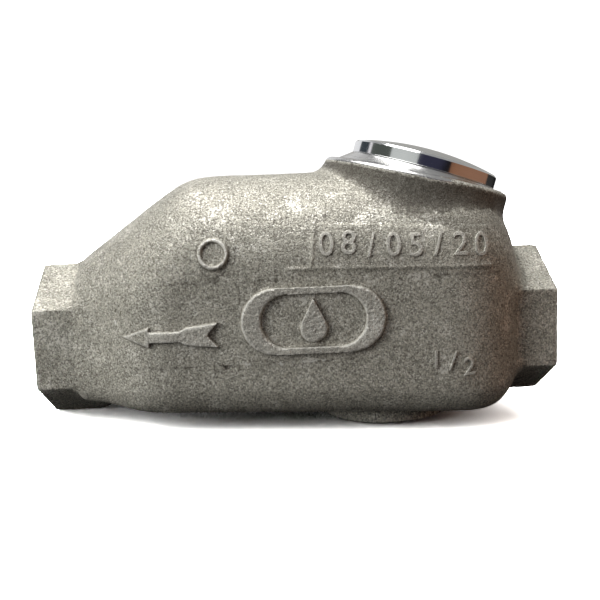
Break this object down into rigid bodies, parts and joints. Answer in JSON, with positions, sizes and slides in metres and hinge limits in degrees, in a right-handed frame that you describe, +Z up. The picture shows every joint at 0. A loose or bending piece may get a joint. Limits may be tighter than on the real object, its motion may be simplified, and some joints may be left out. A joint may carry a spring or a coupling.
{
  "type": "in-line lubricator",
  "caption": "Cast iron in-line air lubricator with hexagon threaded ports, an inner oil space and metering valve, and a tilted screw filler plug.",
  "frame": {"origin": "on the air bore's axis, in the plane of the outlet face", "axes": "+X along the air bore from the outlet to the inlet, +Z up towards the filler, -Y the side with the relief"},
  "size_m": [0.146, 0.0633, 0.0803],
  "materials": {
    "iron": "sand cast and shot blasted",
    "plug_aluminium": "turned and polished",
    "seal_rubber": "matt",
    "pressed_steel": "dull pressed sheet",
    "turned_brass": "turned",
    "spring_steel": "bright"
  },
  "bodies": {
    "housing": {"body_casting": "iron", "core_plug": "pressed_steel", "venturi_insert": "turned_brass", "venturi_seal_downstream": "seal_rubber", "venturi_seal_upstream": "seal_rubber", "venturi_retaining_ring": "spring_steel", "needle_seat": "turned_brass", "needle_lock_spring": "spring_steel", "pickup_tube": "turned_brass", "pickup_gland_nut": "turned_brass", "pickup_ferrule": "turned_brass", "pickup_strainer": "turned_brass", "check_valve_seat": "turned_brass", "check_spring": "spring_steel", "check_valve_cage": "turned_brass"},
    "filler_seal": {"filler_plug_seal": "seal_rubber"},
    "filler_plug": {"filler_plug": "plug_aluminium"},
    "needle_ring": {"needle_seal": "seal_rubber"},
    "metering_needle": {"metering_needle": "turned_brass"},
    "check_ball": {"check_ball": "spring_steel"}
  },
  "joints": [
    {"name": "filler_lift", "type": "slide", "parent": "housing", "child": "filler_seal", "axis": [0.2957, 0, 0.9553], "range_m": [0, 0.0127]},
    {"name": "filler_turn", "type": "hinge", "parent": "filler_seal", "child": "filler_plug", "pos_m": [0.11175, 0, 0.04475], "axis": [0.2957, 0, 0.9553], "range_deg": [0, 2161]},
    {"name": "needle_lift", "type": "slide", "parent": "housing", "child": "needle_ring", "axis": [0, 0, 1], "range_m": [0, 0.003], "deforming": ["needle_lock_spring"]},
    {"name": "needle_turn", "type": "hinge", "parent": "needle_ring", "child": "metering_needle", "pos_m": [0.101, 0, 0.02], "axis": [0, 0, 1], "range_deg": [0, 1081]},
    {"name": "check_ball_lift", "type": "slide", "parent": "housing", "child": "check_ball", "axis": [0, 0, 1], "range_m": [0, 0.0012], "stiffness_N_per_m": 200, "springref_m": -0.003, "deforming": ["check_spring"]}
  ],
  "couplings": [
    {"joint": "filler_turn", "follows": "filler_lift", "rad_per_m": 2968.4},
    {"joint": "needle_turn", "follows": "needle_lift", "rad_per_m": 6283.2}
  ]
}
